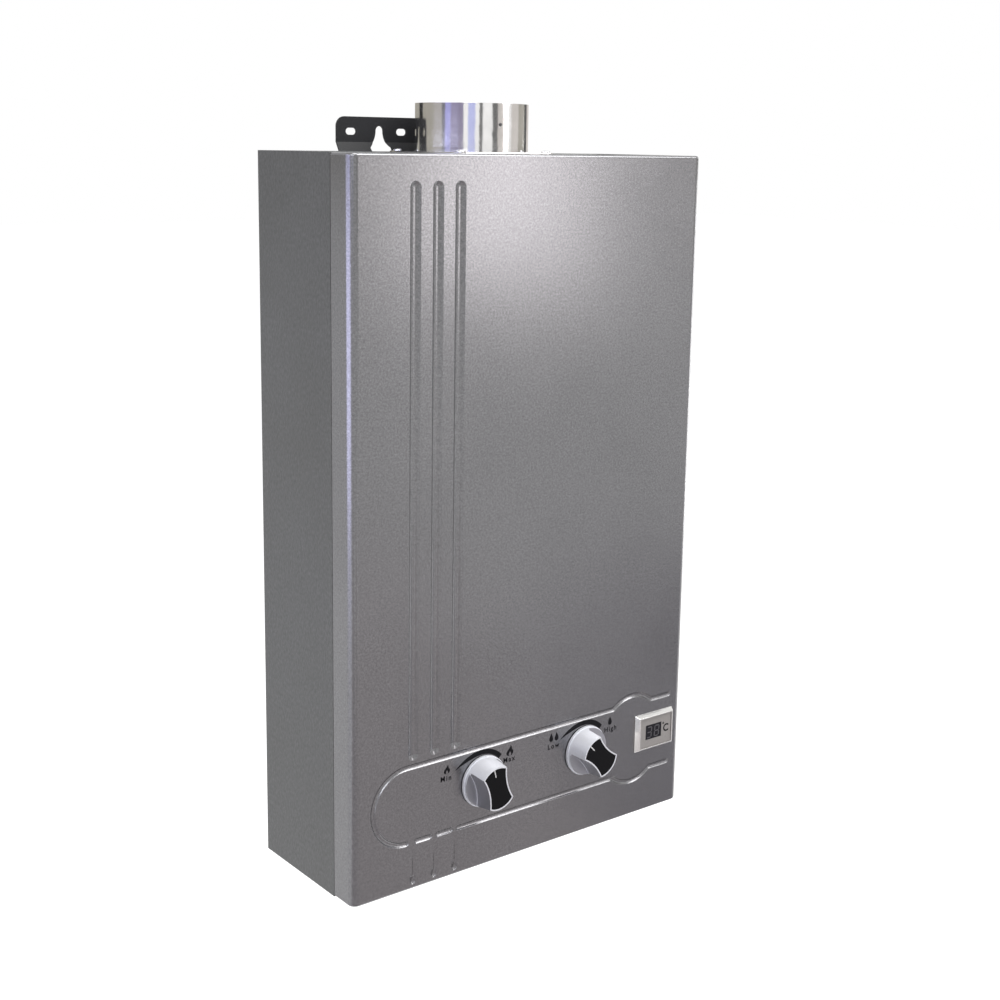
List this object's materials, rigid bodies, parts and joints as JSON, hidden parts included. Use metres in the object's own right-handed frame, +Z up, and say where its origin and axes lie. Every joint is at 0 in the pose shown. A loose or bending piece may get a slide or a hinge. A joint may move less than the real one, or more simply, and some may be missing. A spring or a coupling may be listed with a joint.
{
  "type": "gas water heater",
  "caption": "Wall-hung gas instantaneous water heater with a silver cover, gas and water knobs, a temperature display, a round flue collar on top and hanging brackets behind.",
  "frame": {"origin": "on the wall plane, half way between the outer slots of the upper bracket and below the flue's axis plane", "axes": "+Z up along the casing's height, +Y into the wall, so the front faces -Y, and +X to the right as seen from the front"},
  "size_m": [0.358, 0.163, 0.6575],
  "materials": {
    "cover_paint": "silver metallic paint, satin",
    "case_paint": "dull grey paint",
    "zinc_sheet": "zinc-coated sheet",
    "bracket_paint": "black paint",
    "bright_steel": "plated",
    "stainless": "polished stainless",
    "gasket": "matt sealing sheet",
    "knob_silver": "silver-white satin",
    "face_black": "black",
    "bezel_chrome": "plated plastic",
    "display_grey": "grey",
    "lens_dark": "dark lens",
    "black_plastic": "black",
    "board_green": "circuit board",
    "brass": "machined",
    "die_cast": "cast",
    "copper": "copper",
    "ceramic": "glazed ceramic"
  },
  "bodies": {
    "casing": {"front_cover": "cover_paint", "rear_case": "case_paint", "top_panel": "zinc_sheet", "bottom_panel": "zinc_sheet", "exhaust_hood": "zinc_sheet", "burner_tray": "zinc_sheet", "linkage_yoke": "zinc_sheet", "upper_bracket": "bracket_paint", "lower_bracket": "bracket_paint", "bracket_rivets": "bright_steel", "cover_screws": "bright_steel", "collar_screws": "bright_steel", "burner_rows": "bright_steel", "battery_contacts": "bright_steel", "overheat_switch": "bright_steel", "flue_collar": "stainless", "collar_flange": "stainless", "collar_gasket": "gasket", "diaphragm": "gasket", "display_bezel": "bezel_chrome", "display_plate": "display_grey", "display_window": "lens_dark", "display_housing": "black_plastic", "igniter_box": "black_plastic", "battery_box": "black_plastic", "microswitch": "black_plastic", "display_board": "board_green", "gas_inlet": "brass", "water_inlet": "brass", "hot_outlet": "brass", "water_valve_body": "brass", "water_valve_cover": "brass", "gas_jets": "brass", "gas_valve_body": "die_cast", "gas_riser": "die_cast", "gas_manifold": "die_cast", "solenoid_valve": "die_cast", "exchanger_shell": "copper", "exchanger_fins": "copper", "exchanger_tube": "copper", "feed_pipe": "copper", "hot_pipe": "copper", "ignition_electrode": "ceramic", "flame_sensor": "ceramic"},
    "gas_control": {"gas_knob": "knob_silver", "gas_knob_plate": "face_black", "gas_spindle": "bright_steel"},
    "water_control": {"water_knob": "knob_silver", "water_knob_plate": "face_black", "water_spindle": "bright_steel"},
    "push_rod": {"push_rod": "bright_steel"},
    "switch_lever": {"switch_lever": "bright_steel"},
    "battery_lid": {"battery_lid": "black_plastic"},
    "drain_plug": {"drain_plug": "black_plastic"}
  },
  "joints": [
    {"name": "gas_knob_turn", "type": "hinge", "parent": "casing", "child": "gas_control", "pos_m": [-0.0425, -0.141, -0.5295], "axis": [0, -1, 0], "range_deg": [-64.5, 45.5]},
    {"name": "water_knob_turn", "type": "hinge", "parent": "casing", "child": "water_control", "pos_m": [0.07, -0.141, -0.5295], "axis": [0, -1, 0], "range_deg": [-93.5, 16.5]},
    {"name": "push_rod_slide", "type": "slide", "parent": "casing", "child": "push_rod", "axis": [-1, 0, 0], "range_m": [0, 0.003], "stiffness_N_per_m": 800},
    {"name": "switch_lever_turn", "type": "hinge", "parent": "casing", "child": "switch_lever", "pos_m": [0.01035, -0.064, -0.5415], "axis": [0, -1, 0], "range_deg": [0, 30.5]},
    {"name": "battery_lid_slide", "type": "slide", "parent": "casing", "child": "battery_lid", "axis": [0, -1, 0], "range_m": [0, 0.07]},
    {"name": "drain_plug_turn", "type": "hinge", "parent": "casing", "child": "drain_plug", "pos_m": [0.094, -0.064, -0.612], "axis": [0, 0, -1], "range_deg": [0, 360]}
  ],
  "couplings": [
    {"joint": "switch_lever_turn", "follows": "push_rod_slide", "rad_per_m": 174.5}
  ]
}
